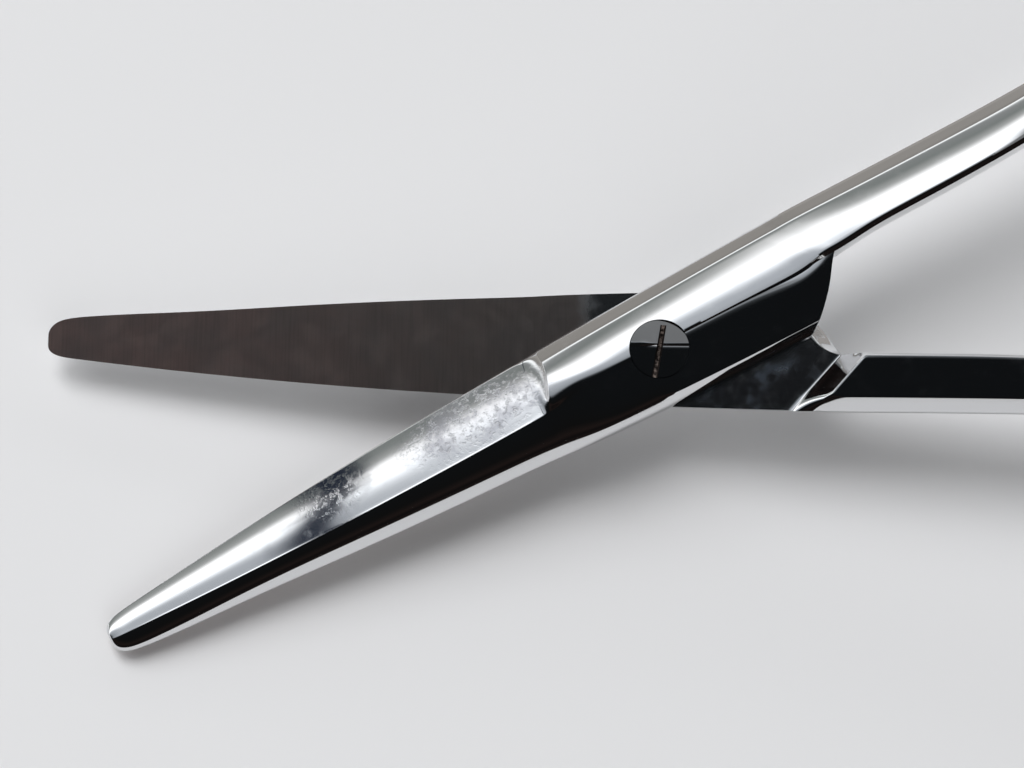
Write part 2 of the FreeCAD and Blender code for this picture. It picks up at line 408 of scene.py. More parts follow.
# Extrudes the edges through the named points of one row, and puts the new row in place
def pull(cage, names, start, end, places):
    aside = Vector((0, 0, 0.1))
    pick([cage[(name, start)] for name in names])
    bpy.ops.mesh.extrude_region_move(TRANSFORM_OT_translate={"value": aside})
    for name in names:
        cage[(name, end)] = places[name] * mm
        moveTo(cage[(name, start)] + aside, cage[(name, end)])


def weld():
    bpy.ops.mesh.select_all(action="SELECT")
    bpy.ops.mesh.remove_doubles(threshold=0.01 * mm)


def panel(cage, corners):
    pick([cage[corner] for corner in corners])
    bpy.ops.mesh.edge_face_add()


# The plate's end lies along the other half's shoulder, a little hollow at both sides
def plateX(y, distance):
    wave = max(-0.3, 0.15 - 0.4 * ((y + 3.2) / 2.6) ** 2)
    out = (distance + wave) / math.cos(math.radians(half["shoulderSlant"]))
    return half["shoulderX"] + slantRise * (y + half["shoulderY"]) + out


def shoulderX(y, distance):
    out = distance / math.cos(math.radians(half["shoulderSlant"]))
    return half["shoulderX"] - slantRise * (y - half["shoulderY"]) + out


# Flat-sided like the bar at first, and an oval rod where it meets the ring
def shankPoint(name, x):
    share = max(0.0, (x - half["barEnd"]) / (half["shankEndX"] - half["barEnd"]))
    inner = mixed(half["shankRoot"], half["shankInner"], eased(x, 21, 27))
    outer = half["shankOuter"]
    reach = half["shankEndY"] - (half["shankInner"] + outer) / 2
    bow = reach * (0.02 * share + 0.98 * share ** 3.4)
    slimmer = half["shankNarrowing"] / 2 * eased(share, 0.2, 0.75)
    inner, outer = inner + bow + slimmer, outer + bow - slimmer
    centre, width = (inner + outer) / 2, outer - inner
    lean = 1 - eased(share, 0.35, 0.95)
    crown, low = half["jointHeight"], -half["shankDrop"]
    corner = mixed(0.06, half["breakWidth"], innerBreak(x))
    drop = mixed(half["creaseDepth"], half["breakDepth"], innerBreak(x))
    flat = {
        "t0": (outer, -0.3), "t1": (outer, half["wallHeight"]),
        "t5": (inner + corner, crown), "t6": (inner - 0.06, crown - drop),
        "b6": (inner - 0.05, -1.1), "b5": (inner + 0.3, low),
        "b4": (mixed(inner, outer, 0.33), low), "b3": (mixed(inner, outer, 0.57), low),
        "b2": (outer - 1.2, low),
    }
    for bar in barArc:
        flat[bar] = barPoint(bar, inner, outer, crown)
    turns = {
        "t0": -15, "t1": 15, "t2": 42, "t3": 68, "t4": 95, "t5": 130, "t6": 160,
        "b6": 200, "b5": 235, "b4": 262, "b3": 289, "b2": 318,
    }
    angle = math.radians(turns[name])
    swell = 1.05
    oval = (
        centre + width / 2 * swell * math.cos(angle),
        half["shankEndHeight"] * swell * math.sin(angle),
    )
    y, z = flat[name]
    return Vector((x, mixed(oval[0], y, lean), mixed(oval[1], z, lean)))


# A small ring of vertices is moved, one by one, onto the tip's first section
def startTip(name, cage):
    bpy.ops.object.select_all(action="DESELECT")
    bpy.ops.mesh.primitive_circle_add(
        vertices=len(wholeRing), radius=2 * mm, rotation=(0, math.pi / 2, 0))
    piece = bpy.context.object
    piece.name = name
    bpy.ops.object.transform_apply(location=True, rotation=True, scale=True)
    bpy.ops.object.mode_set(mode="EDIT")
    bpy.ops.mesh.select_mode(type="VERT")
    circle = [vert.co.copy() for vert in editMesh().verts]
    for point, corner in zip(wholeRing, circle):
        cage[(point, 0)] = tipPoint(point, *tipRows[0]) * mm
        moveTo(corner, cage[(point, 0)])
    return piece


# Blade, step and joint, row by row. Gives back the step's first row and the joint's last.
def pullBladeAndJoint(cage):
    rows = [{p: tipPoint(p, x, share) for p in wholeRing} for x, share in tipRows[1:]]
    rows += [{p: outerPoint(p, x, False) for p in wholeRing} for x in bladeRows]
    root = len(rows) + 1
    rows += [{p: stepPlace(p, step) for p in wholeRing} for step in range(stepRows)]
    for x, bend in jointRows:
        places = {}
        for p in wholeRing:
            y = outerPoint(p, x, True).y
            places[p] = outerPoint(p, x - bend * slantRise * max(0.0, abs(y) - 0.4), True)
        rows.append(places)
    for row, places in enumerate(rows):
        pull(cage, wholeRing, row, row + 1, places)
    return root, len(rows)


# The row at the shoulder's root, where bar and plate part
def pullShoulderRoot(cage, row):
    reach = half["plateReach"]
    places = {}
    for p in wholeRing:
        y = outerPoint(p, 18, True).y
        if p in plateTop[1:]:
            x = min(plateX(y, reach) - half["plateBack"], 18.2)
        elif p in plateUnder[1:]:
            x = min(plateX(y, reach - half["plateUndercut"]) - 0.9, 18.2)
        else:
            x = shoulderX(y, 0)
        places[p] = outerPoint(p, x, True)
    places["b6"] = Vector((half["shoulderX"], half["shankRoot"], half["lap"]))
    places["t6"] = outerPoint("t6", half["shoulderX"], True)
    pull(cage, wholeRing, row, "root", places)


# The bar's rows over the hollow shoulder: share of its width, and of the way to the corner
# where it meets the plate's end
shoulderShares = {"low": 0.14, "hollow": 0.38, "mid": 0.62, "steep": 0.86, "brow": 1}
cornerShares = {"low": 0.25, "hollow": 0.5, "mid": 0.75, "steep": 1}


def pullShoulder(cage):
    cornerX = plateX(half["shankRoot"], half["plateReach"])
    last = "root"
    for key, share in shoulderShares.items():
        distance = half["shoulderWidth"] * share
        fall = half["lap"] - half["shankDrop"] * (0.75 * share + 0.25 * share ** 2)
        places = {}
        for p in barPath:
            if p in barUnder or p == "t0":
                flat = shankPoint(p, half["barEnd"])
                places[p] = Vector((shoulderX(flat.y, distance), flat.y, max(fall, flat.z)))
                continue
            x = shoulderX(outerPoint(p, 20, True).y, distance)
            if p == "t6":
                x = cornerX + 0.4
                if key in cornerShares:
                    x = mixed(half["shoulderX"], cornerX, cornerShares[key])
            places[p] = outerPoint(p, x, True)
        pull(cage, barPath, last, key, places)
        last = key


# The plate's part ends in a wall with a chamfer below it
def pullPlateEnd(cage):
    reach = half["plateReach"]
    cornerX = plateX(half["shankRoot"], reach)
    last = "root"
    ends = (("endA", 0.25, 18), ("endB", 0.5, 18), ("endC", 0.75, 18), ("end", 1, 19))
    for key, share, at in ends:
        places = {"t6": outerPoint("t6", mixed(half["shoulderX"], cornerX, share), True)}
        for p in plateTop[1:]:
            x = plateX(outerPoint(p, at, True).y, reach) - half["plateBack"] * (1 - share)
            places[p] = outerPoint(p, x, True)
        pull(cage, plateTop, last, key, places)
        weld()
        last = key
    wall = {}
    for p, top in places.items():
        wall[p] = Vector((top.x, top.y, min(1.35, 0.55 * top.z)))
    pull(cage, plateTop, "end", "wallFoot", wall)
    feet, lowFeet = {}, {}
    for p, below in zip(plateTop, plateUnder):
        y = outerPoint(below, 17, True).y
        x = plateX(y, reach - half["plateUndercut"])
        if below == "b6":
            y, x = half["shankRoot"], max(x, half["shoulderX"] + 0.08)
        feet[p] = lowFeet[below] = Vector((x, y, half["lap"]))
    pull(cage, plateTop, "wallFoot", "foot", feet)
    pull(cage, plateUnder, "root", "lowFoot", lowFeet)


# Faces between rows that no extrusion joins: at the plate's back and at the corner by the bar
gaps = (
    (("t10", "root"), ("t10", "endA"), ("t10", "endB"), ("t10", "foot"), ("t11", "root")),
    (("t10", "endB"), ("t10", "endC"), ("t10", "end"), ("t10", "wallFoot"), ("t10", "foot")),
    (("b6", "root"), ("t6", "foot"), ("b6", "hollow"), ("b6", "low")),
    (("t6", "foot"), ("b6", "hollow"), ("b6", "mid"), ("b6", "steep"), ("t6", "wallFoot")),
    (("t6", "wallFoot"), ("b6", "steep"), ("b6", "brow"), ("t6", "brow"), ("t6", "end")),
)


def closeGaps(cage):
    tip = [(p, 0) for p in wholeRing]
    panel(cage, tip)
    weld()
    for corners in (tip, *gaps):
        panel(cage, corners)


# The shank, straight at first and then bowed out to the ring. Gives back its rows.
def pullShank(cage):
    rows = ["brow"]
    for x, bend in shankRows:
        places = {}
        for p in barPath:
            y = shankPoint(p, x).y
            places[p] = shankPoint(p, x - bend * slantRise * (y - half["shoulderY"]))
        pull(cage, barPath, rows[-1], f"shank{x}", places)
        rows.append(f"shank{x}")
    return rows[1:]


# One half as a cage, pulled along row by row, with a spun ring bridged to it
def buildHalf(name, shape):
    half.update(shape)
    cage = {}
    piece = startTip(name, cage)
    root, row = pullBladeAndJoint(cage)
    pullShoulderRoot(cage, row)
    pullShoulder(cage)
    pullPlateEnd(cage)
    closeGaps(cage)
    shank = pullShank(cage)
    bpy.ops.object.mode_set(mode="OBJECT")
    bridgeRing(piece)
    bpy.ops.object.mode_set(mode="EDIT")
    sharpen(cage, root, row, shank)
    bpy.ops.mesh.select_all(action="SELECT")
    bpy.ops.mesh.normals_make_consistent(inside=False)
    bpy.ops.object.mode_set(mode="OBJECT")
    return piece


# The finger ring's oval, in four arcs
ring = {
    "middleX": 89.5,
    "middleY": 15.0,
    "halfLength": 15.25,
    "halfWidth": 12.25,
    "endRadius": 10.5,
    "endSteps": 8,
    "sideSteps": 10,
    "wire": 4.5,
    "wireSides": 12,
}


# A wire section is spun round the four arcs
def addRing():
    endOffset = ring["halfLength"] - ring["endRadius"]
    narrow = ring["halfWidth"] - ring["endRadius"]
    sideRadius = ring["endRadius"] + (endOffset ** 2 + narrow ** 2) / (2 * narrow)
    sideOffset = sideRadius - ring["halfWidth"]
    endTurn = math.atan2(sideOffset, endOffset)
    sideTurn = math.pi / 2 - endTurn
    middle = Vector((ring["middleX"], ring["middleY"], 0))
    # Rounding the cage draws it in, so section and path start out a little larger
    sides = ring["wireSides"]
    section = ring["wire"] / 2 * 6 / (4 + 2 * math.cos(math.tau / sides))
    path = ring["endRadius"] * 1.006
    bpy.ops.object.select_all(action="DESELECT")
    bpy.ops.mesh.primitive_circle_add(vertices=sides, radius=section * mm)
    piece = bpy.context.object
    bpy.ops.object.mode_set(mode="EDIT")
    bpy.ops.transform.rotate(value=math.pi / sides, orient_axis="Z", center_override=(0, 0, 0))
    bpy.ops.transform.rotate(value=math.pi / 2, orient_axis="X", center_override=(0, 0, 0))
    centre = middle + Vector((endOffset, 0, 0))
    bpy.ops.transform.translate(value=(centre + Vector((path, 0, 0))) * mm)
    bpy.ops.transform.rotate(value=endTurn, orient_axis="Z", center_override=centre * mm)
    for offset, turn, steps in (
        (Vector((endOffset, 0, 0)), 2 * endTurn, ring["endSteps"]),
        (Vector((0, -sideOffset, 0)), 2 * sideTurn, ring["sideSteps"]),
        (Vector((-endOffset, 0, 0)), 2 * endTurn, ring["endSteps"]),
        (Vector((0, sideOffset, 0)), 2 * sideTurn, ring["sideSteps"]),
    ):
        # spin turns clockwise about +Z, so the angle is negative
        bpy.ops.mesh.spin(steps=steps, angle=-turn, center=(middle + offset) * mm, axis=(0, 0, 1))
    bpy.ops.mesh.select_all(action="SELECT")
    bpy.ops.mesh.remove_doubles(threshold=0.05 * mm)
    bpy.ops.object.mode_set(mode="OBJECT")
    bpy.ops.object.transform_apply(location=True, rotation=True, scale=True)
    return piece


# The ring's faces by the shank's end give way to a bridge between the two
def bridgeRing(piece):
    hoop = addRing()
    selectOnly(piece)
    hoop.select_set(True)
    bpy.ops.object.join()
    bpy.ops.object.mode_set(mode="EDIT")
    bpy.ops.mesh.select_mode(type="FACE")
    deselect()
    mesh = editMesh()
    shankEnd = Vector((half["shankEndX"], half["shankEndY"], 0))
    outwards = (shankEnd - Vector((ring["middleX"], ring["middleY"], 0))).normalized()
    seat = (shankEnd + outwards * ring["wire"] / 2) * mm
    near = min(mesh.faces, key=lambda face: (face.calc_center_median() - seat).length)
    near.select_set(True)
    bmesh.update_edit_mesh(piece.data)
    bpy.ops.mesh.select_more()
    bpy.ops.mesh.delete(type="FACE")
    bpy.ops.mesh.select_mode(type="EDGE")
    deselect()
    mesh = editMesh()
    for edge in mesh.edges:
        edge.select_set(edge.is_boundary)
    bmesh.update_edit_mesh(piece.data)
    bpy.ops.mesh.bridge_edge_loops()
    bpy.ops.mesh.select_mode(type="VERT")
    bpy.ops.object.mode_set(mode="OBJECT")


# Creases where two ground faces meet. 1 stays sharp, less is polished rounder.
def sharpen(cage, root, row, shank):
    bpy.ops.mesh.select_mode(type="EDGE")
    crest = root + stepRows - 2
    along = list(range(row + 1)) + ["root"]
    blade = list(range(root + 1))
    joint = along[root + stepRows + 3:]
    shoulder = ["root"] + list(shoulderShares)
    bar = list(range(crest, row + 1)) + shoulder
    inner = joint + shoulder[1:] + shank[:8]
    flatShank = ["brow"] + shank[:8]

    def line(name, keys):
        return [((name, a), (name, b)) for a, b in zip(keys, keys[1:])]

    def across(names, key):
        return [((a, key), (b, key)) for a, b in zip(names, names[1:])]

    groups = (
        (1.0, line("t0", along) + line("t11", along) + [(("t11", "root"), ("t10", "foot"))]),
        (1.0, across(["t11"] + under + ["t0"], 0)),
        (0.8, line("t1", blade)),
        (0.85, line("t1", bar + shank[:9])),
        (0.7, across(facetLines, crest)),
        (0.3, across(facetLines, root)),
        (0.8, line("t5", inner)),
        (0.75, line("t5", list(range(4, root)))),
        (1.0, line("t6", inner)),
        (0.5, line("t2", bar + shank[:8])),
        (0.6, line("t9", joint + ["endA", "endB", "endC", "end"])),
        (0.9, line("t6", list(range(3, root)))),
        (0.95, across(plateTop, "end")),
        (0.7, across(plateTop, "wallFoot")),
        (0.9, across(plateTop, "foot")),
        (0.8, line("t10", ["end", "wallFoot", "foot"])),
        (1.0, line("t6", ["end", "wallFoot", "foot"])),
        (1.0, line("b6", shoulder) + line("t0", shoulder)),
        (1.0, [(("b6", "root"), ("t6", "foot"))]),
        (0.95, across(barUnder, "brow")),
        (0.4, across(barUnder, "root")),
        (0.7, line("b6", flatShank)),
        (0.7, line("b5", flatShank)),
        (0.7, line("b2", flatShank)),
    )
    for value, pairs in groups:
        deselect()
        mesh = editMesh()
        for a, b in pairs:
            mesh.edges.get((vertAt(mesh, cage[a]), vertAt(mesh, cage[b]))).select_set(True)
        bmesh.update_edit_mesh(bpy.context.object.data)
        bpy.ops.transform.edge_crease(value=value)


def subdivide(piece, levels):
    selectOnly(piece)
    bpy.ops.object.modifier_add(type="SUBSURF")
    smooth = piece.modifiers[-1]
    smooth.levels = levels
    smooth.render_levels = levels
    bpy.ops.object.modifier_apply(modifier=smooth.name)
    bpy.ops.object.shade_smooth_by_angle(angle=sharpAngle)


def lay(piece, turn, y=0.0):
    selectOnly(piece)
    piece.rotation_euler = turn
    piece.location = Vector((0, y, 0)) * mm
    bpy.ops.object.transform_apply(location=True, rotation=True, scale=True)


frontHalf = buildHalf("frontHalf", frontShape)
rearHalf = buildHalf("rearHalf", rearShape)
print("halves built")
for piece in (frontHalf, rearHalf):
    subdivide(piece, 3)
print("cages rounded")


# Finishes. Lengths in the nodes are metres, as the object's own coordinates are.
finish = {
    "steel": (0.74, 0.745, 0.755, 1),
    "polishRoughness": 0.055,
    "hazeRoughness": 0.2,
    "waveScale": 210, "waveHeight": 1.1e-5,
    "scratchScale": 7000, "scratchHeight": 2.5e-7,
    "etched": (0.42, 0.42, 0.455, 1),
    "pitScale": 1700, "pitHeight": 8e-6, "pitRoughness": 0.1,
    "pitPlace": (-0.0195, 0.0026, 0.0014),
    "speckPlace": (-0.0362, 0.0029, 0.0012), "speckStrength": 0.14,
    "groundScale": 5200, "groundHeight": 2.2e-6, "groundRoughness": 0.4,
    "satin": (0.265, 0.23, 0.215, 1),
    "satinAtTip": (0.37, 0.265, 0.245, 1),
    "satinCloud": (0.24, 0.22, 0.215, 1),
    "satinLines": (0.2, 0.18, 0.17, 1),
    "wornRoughness": 0.13,
    "wornBlue": (0.6, 0.68, 0.8, 1),
    "grimeScale": 2400, "grimeHeight": 4e-5,
    # The slot's darkest colour stands for dark dirt and for painted shade by its walls; the span
    # is where that painted shade fades out towards the slot's middle
    "wallShadeSpan": (0.00022, 0.00008),
    "grimeAndWallShade": (0.02, 0.014, 0.012, 1),
    "grimeFloor": (0.4, 0.32, 0.28, 1),
}


def wire(tree, value, socket):
    if isinstance(value, (int, float, tuple)):
        socket.default_value = value
    else:
        tree.links.new(value, socket)


def calculate(tree, operation, *values, clamp=False):
    node = tree.nodes.new("ShaderNodeMath")
    node.operation = operation
    node.use_clamp = clamp
    for value, socket in zip(values, node.inputs):
        wire(tree, value, socket)
    return node.outputs[0]


def noise(tree, place, scale, detail=2, rough=0.5):
    node = tree.nodes.new("ShaderNodeTexNoise")
    node.inputs["Scale"].default_value = scale
    node.inputs["Detail"].default_value = detail
    node.inputs["Roughness"].default_value = rough
    tree.links.new(place, node.inputs["Vector"])
    return node.outputs["Fac"]


def between(tree, value, low, high, newLow=0, newHigh=1):
    node = tree.nodes.new("ShaderNodeMapRange")
    node.interpolation_type = "SMOOTHSTEP"
    ends = {"From Min": low, "From Max": high, "To Min": newLow, "To Max": newHigh}
    for name, number in ends.items():
        node.inputs[name].default_value = number
    tree.links.new(value, node.inputs["Value"])
    return node.outputs["Result"]


def stretched(tree, place, scale):
    node = tree.nodes.new("ShaderNodeMapping")
    node.inputs["Scale"].default_value = scale
    tree.links.new(place, node.inputs["Vector"])
    return node.outputs["Vector"]


def raised(tree, height, distance, before=None):
    node = tree.nodes.new("ShaderNodeBump")
    node.inputs["Strength"].default_value = 1
    node.inputs["Distance"].default_value = distance
    tree.links.new(height, node.inputs["Height"])
    if before is not None:
        tree.links.new(before, node.inputs["Normal"])
    return node.outputs["Normal"]


def blended(tree, factor, first, second):
    node = tree.nodes.new("ShaderNodeMix")
    node.data_type = "RGBA"
    wire(tree, factor, node.inputs["Factor"])
    wire(tree, first, node.inputs["A"])
    wire(tree, second, node.inputs["B"])
    return node.outputs["Result"]


def startGroup(name, outputs):
    group = bpy.data.node_groups.new(name, "ShaderNodeTree")
    group.interface.new_socket("Place", in_out="INPUT", socket_type="NodeSocketVector")
    for label, kind in outputs:
        group.interface.new_socket(label, in_out="OUTPUT", socket_type=kind)
    place = group.nodes.new("NodeGroupInput").outputs["Place"]
    return group, place, group.nodes.new("NodeGroupOutput")


# Gentle waves left by the polishing wheel, hairlines along the half, and smudges
def handPolish():
    outputs = (("Haze", "NodeSocketFloat"), ("Normal", "NodeSocketVector"))
    group, place, out = startGroup("handPolish", outputs)
    long = stretched(group, place, (0.45, 1, 1))
    waves = noise(group, long, finish["waveScale"], 1)
    lines = noise(group, stretched(group, place, (0.012, 1, 1)), finish["scratchScale"], 1)
    waved = raised(group, waves, finish["waveHeight"])
    group.links.new(raised(group, lines, finish["scratchHeight"], waved), out.inputs["Normal"])
    smudge = between(group, noise(group, place, 330, 6, 0.62), 0.5, 0.72)
    group.links.new(smudge, out.inputs["Haze"])
    return group


# 1 in the middle of a soft oval spot, 0 outside it
def spotAt(tree, place, middle, scale):
    away = tree.nodes.new("ShaderNodeVectorMath")
    away.operation = "SUBTRACT"
    away.inputs[1].default_value = middle
    tree.links.new(place, away.inputs[0])
    length = tree.nodes.new("ShaderNodeVectorMath")
    length.operation = "LENGTH"
    tree.links.new(stretched(tree, away.outputs["Vector"], scale), length.inputs[0])
    return between(tree, length.outputs["Value"], 1.15, 0.5)


# Etched blotches and pits in the bevel beside its step, and a few specks nearer the tip
def pittedBevel():
    outputs = (("Blotch", "NodeSocketFloat"), ("Pits", "NodeSocketFloat"))
    group, place, out = startGroup("pittedBevel", outputs)
    near = spotAt(group, place, finish["pitPlace"], (110, 260, 260))
    specks = spotAt(group, place, finish["speckPlace"], (240, 320, 320))
    patches = between(group, noise(group, place, 300, 5, 0.6), 0.4, 0.62, 0.4)
    group.links.new(calculate(group, "MULTIPLY", near, patches), out.inputs["Blotch"])
    holes = between(group, noise(group, place, finish["pitScale"], 4, 0.7), 0.5, 0.66)
    faint = calculate(group, "MULTIPLY", specks, finish["speckStrength"])
    pitted = calculate(group, "MAXIMUM", near, faint)
    group.links.new(calculate(group, "MULTIPLY", pitted, holes), out.inputs["Pits"])
    return group


shared = {"polish": handPolish(), "pitted": pittedBevel()}


# A metal material whose pattern runs along the half
def startSteel(name, turn):
    material = bpy.data.materials.new(name)
    material.use_nodes = True
    tree = material.node_tree
    shader = tree.nodes["Principled BSDF"]
    shader.inputs["Metallic"].default_value = 1
    where = tree.nodes.new("ShaderNodeTexCoord")
    turned = tree.nodes.new("ShaderNodeMapping")
    turned.inputs["Rotation"].default_value = (0, 0, math.radians(turn))
    tree.links.new(where.outputs["Object"], turned.inputs["Vector"])
    return material, tree, shader, turned.outputs["Vector"]


def useGroup(tree, group, place):
    node = tree.nodes.new("ShaderNodeGroup")
    node.node_tree = group
    tree.links.new(place, node.inputs["Place"])
    return node.outputs


def polishedSteel(name, pitted):
    material, tree, shader, place = startSteel(name, -half["openingAngle"] if pitted else 0)
    polish = useGroup(tree, shared["polish"], place)
    haze = finish["hazeRoughness"]
    rough = calculate(tree, "MULTIPLY_ADD", polish["Haze"], haze * 0.35, finish["polishRoughness"])
    colour, normal = finish["steel"], polish["Normal"]
    if pitted:
        marks = useGroup(tree, shared["pitted"], place)
        rough = calculate(tree, "MULTIPLY_ADD", marks["Blotch"], haze, rough)
        rough = calculate(tree, "MULTIPLY_ADD", marks["Pits"], finish["pitRoughness"], rough)
        normal = raised(tree, marks["Pits"], -finish["pitHeight"], normal)
        blotch = calculate(tree, "MULTIPLY", marks["Blotch"], 0.8)
        colour = blended(tree, blotch, finish["steel"], finish["etched"])
    wire(tree, colour, shader.inputs["Base Color"])
    tree.links.new(rough, shader.inputs["Roughness"])
    tree.links.new(normal, shader.inputs["Normal"])
    return material


# The inner faces: ground across and stained along the blade, polished round the joint
def groundSteel(name):
    material, tree, shader, place = startSteel(name, 0)
    split = tree.nodes.new("ShaderNodeSeparateXYZ")
    tree.links.new(place, split.inputs[0])
    cloud = noise(tree, place, 160, 4, 0.6)
    ragged = calculate(tree, "MULTIPLY_ADD", cloud, 0.004, -0.002)
    along = calculate(tree, "ADD", split.outputs["X"], ragged)
    joint = between(tree, along, -0.0085, -0.0055)
    lines = noise(tree, stretched(tree, place, (1, 0.03, 1)), finish["groundScale"], 2)
    polish = useGroup(tree, shared["polish"], place)
    normals = tree.nodes.new("ShaderNodeMix")
    normals.data_type = "VECTOR"
    tree.links.new(joint, normals.inputs["Factor"])
    ground = raised(tree, lines, finish["groundHeight"], polish["Normal"])
    tree.links.new(ground, normals.inputs["A"])
    tree.links.new(polish["Normal"], normals.inputs["B"])
    tree.links.new(normals.outputs["Result"], shader.inputs["Normal"])
    toTip = between(tree, along, -0.008, -0.06)
    satin = blended(tree, toTip, finish["satin"], finish["satinAtTip"])
    satin = blended(tree, between(tree, cloud, 0.35, 0.7, 0, 0.5), satin, finish["satinCloud"])
    satin = blended(tree, between(tree, lines, 0.4, 0.75, 0, 0.35), satin, finish["satinLines"])
    blue = between(tree, noise(tree, place, 260, 3, 0.6), 0.5, 0.7)
    worn = blended(tree, blue, finish["steel"], finish["wornBlue"])
    tree.links.new(blended(tree, joint, satin, worn), shader.inputs["Base Color"])
    rough = between(tree, joint, 0, 1, finish["groundRoughness"], finish["wornRoughness"])
    rough = calculate(tree, "MULTIPLY_ADD", blue, finish["wornRoughness"], rough)
    haze = calculate(tree, "MULTIPLY_ADD", polish["Haze"], 0.1, rough)
    tree.links.new(haze, shader.inputs["Roughness"])
    return material


# Old brown dirt in the screw's slot, with painted shade that darkens it towards its walls
def slotDirtAndShade():
    material, tree, shader, place = startSteel("slotDirtAndShade", -screw["slotAngle"])
    specks = noise(tree, place, finish["grimeScale"], 4, 0.7)
    split = tree.nodes.new("ShaderNodeSeparateXYZ")
    tree.links.new(place, split.inputs[0])
    # Painted shade: 0 by the slot's walls and 1 in its middle, so the floor darkens towards the
    # walls and the walls take the darkest colour
    offMiddle = calculate(tree, "ABSOLUTE", split.outputs["Y"])
    middle = between(tree, offMiddle, *finish["wallShadeSpan"])
    specksOffWallShade = calculate(tree, "MULTIPLY", between(tree, specks, 0.42, 0.62), middle)
    colour = blended(tree, specksOffWallShade, finish["grimeAndWallShade"], finish["grimeFloor"])
    tree.links.new(colour, shader.inputs["Base Color"])
    shader.inputs["Metallic"].default_value = 0.6
    shader.inputs["Roughness"].default_value = 0.45
    tree.links.new(raised(tree, specks, finish["grimeHeight"]), shader.inputs["Normal"])
    return material


# The joint screw: head and end are ground off flush with the closed halves
screw = {
    "head": 3.0, "seat": 1.3, "neck": 2.1, "thread": 1.8, "room": 0.08,
    "slotWidth": 0.6, "slotDepth": 1.0, "sawRadius": 7, "slotAngle": 80, "slotShift": 0.15,
    "beyond": 6,             # past both halves' outer faces
}


def addPost(name, radius, bottom, top, sides=128):
    bpy.ops.object.select_all(action="DESELECT")
    bpy.ops.mesh.primitive_cylinder_add(
        vertices=sides, radius=radius * mm, depth=(top - bottom) * mm,
        location=(0, 0, (top + bottom) / 2 * mm))
    post = bpy.context.object
    post.name = name
    bpy.ops.object.transform_apply(location=True, rotation=True, scale=True)
    return post


def combine(piece, other, how, keep=False):
    selectOnly(piece)
    bpy.ops.object.modifier_add(type="BOOLEAN")
    cut = piece.modifiers[-1]
    cut.operation = how
    cut.solver = "EXACT"
    cut.object = other
    bpy.ops.object.modifier_apply(modifier=cut.name)
    if not keep:
        bpy.data.objects.remove(other)


def addScrew(closedFront, rear):
    beyond = screw["beyond"]
    head = addPost("pivotScrew", screw["head"], screw["seat"], beyond)
    dressings = polishedSteel("screwPolish", False), slotDirtAndShade()
    for dressing in dressings:
        head.data.materials.append(dressing)
    combine(head, closedFront, "INTERSECT", keep=True)
    end = addPost("screwEnd", screw["thread"] - 0.03, -beyond, -0.2)
    combine(end, rear, "INTERSECT", keep=True)
    neck = addPost("screwNeck", screw["neck"], -0.02, screw["seat"] + 0.3)
    core = addPost("screwCore", screw["thread"] - 0.1, -1, 1)
    combine(neck, core, "UNION")
    combine(neck, end, "UNION")
    combine(head, neck, "UNION")
    depth = half["jointHeight"] - screw["slotDepth"] + screw["sawRadius"]
    across = screw["slotWidth"] / 2
    saw = addPost("slotSaw", screw["sawRadius"], -across, across, 256)
    for dressing in dressings:
        saw.data.materials.append(dressing)
    for face in saw.data.polygons:
        face.material_index = 1
    turn = math.radians(screw["slotAngle"])
    along = Vector((math.cos(turn), math.sin(turn), 0))
    saw.rotation_euler = (math.pi / 2, 0, turn)
    saw.location = (Vector((0, 0, depth)) - along * screw["slotShift"]) * mm
    bpy.ops.object.transform_apply(location=True, rotation=True, scale=True)
    combine(head, saw, "DIFFERENCE")
    selectOnly(head)
    bpy.ops.object.shade_smooth_by_angle(angle=sharpAngle)
    return head


def drill(piece, radius, bottom, top):
    combine(piece, addPost("drill", radius, bottom, top), "DIFFERENCE")


# The screw is cut to the closed halves' surfaces, then the front half is opened
lay(rearHalf, (math.pi, 0, 0), half["screwOffCentre"])
lay(frontHalf, (0, 0, 0), half["screwOffCentre"])
pivotScrew = addScrew(frontHalf, rearHalf)
drill(frontHalf, screw["head"] + screw["room"], screw["seat"] - screw["room"], screw["beyond"])
drill(frontHalf, screw["neck"] + screw["room"], -1, 2)
drill(rearHalf, screw["thread"], -screw["beyond"], 1)
lay(frontHalf, (0, 0, math.radians(half["openingAngle"])))
for piece in (frontHalf, rearHalf):
    selectOnly(piece)
    bpy.ops.object.shade_smooth_by_angle(angle=sharpAngle)
print("screw fitted", len(pivotScrew.data.polygons), len(frontHalf.data.polygons))

for piece, body, node, slotName in (
    (frontHalf, "front", "front_half", "front_steel"),
    (rearHalf, "rear", "rear_half", "rear_steel"),
    (pivotScrew, "rear", "pivot_screw", "screw_steel"),
):
    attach(piece, body)
    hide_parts(node)


# Inner faces are ground, the rest is polished
for piece, lap in ((frontHalf, half["lap"]), (rearHalf, -half["lap"])):
    piece.data.materials.append(polishedSteel(f"{piece.name}Polish", piece is frontHalf))
    piece.data.materials.append(groundSteel(f"{piece.name}Ground"))
    for face in piece.data.polygons:
        flat = abs(face.normal.z) > 0.999 and abs(face.center.z - lap * mm) < 0.012 * mm
        face.material_index = 1 if flat else 0
print("steel finished")

# The room: a dark ceiling over the camera, bright windows on the +Y side, and a pale table.
# The scissors are held up at the rings, so the table falls away to +X and +Y.
room = {
    "tableZ": -1.6,
    "tableAt": (-56, -29),
    "tableSlopeX": 0.1,
    "tableSlopeY": 0.11,
    "sunFrom": (-0.12, 0.5, 0.87),
    "sunSpread": 28,
    "sunStrength": 1.0,
    "fillFrom": (-0.5, 0.5, 1),
    "fillDistance": 700,
    "fillSize": 550,
    "fillEnergy": 2.3,
    "counterFrom": (0.3, -0.7, 0.9),
    "counterEnergy": 1.1,
}


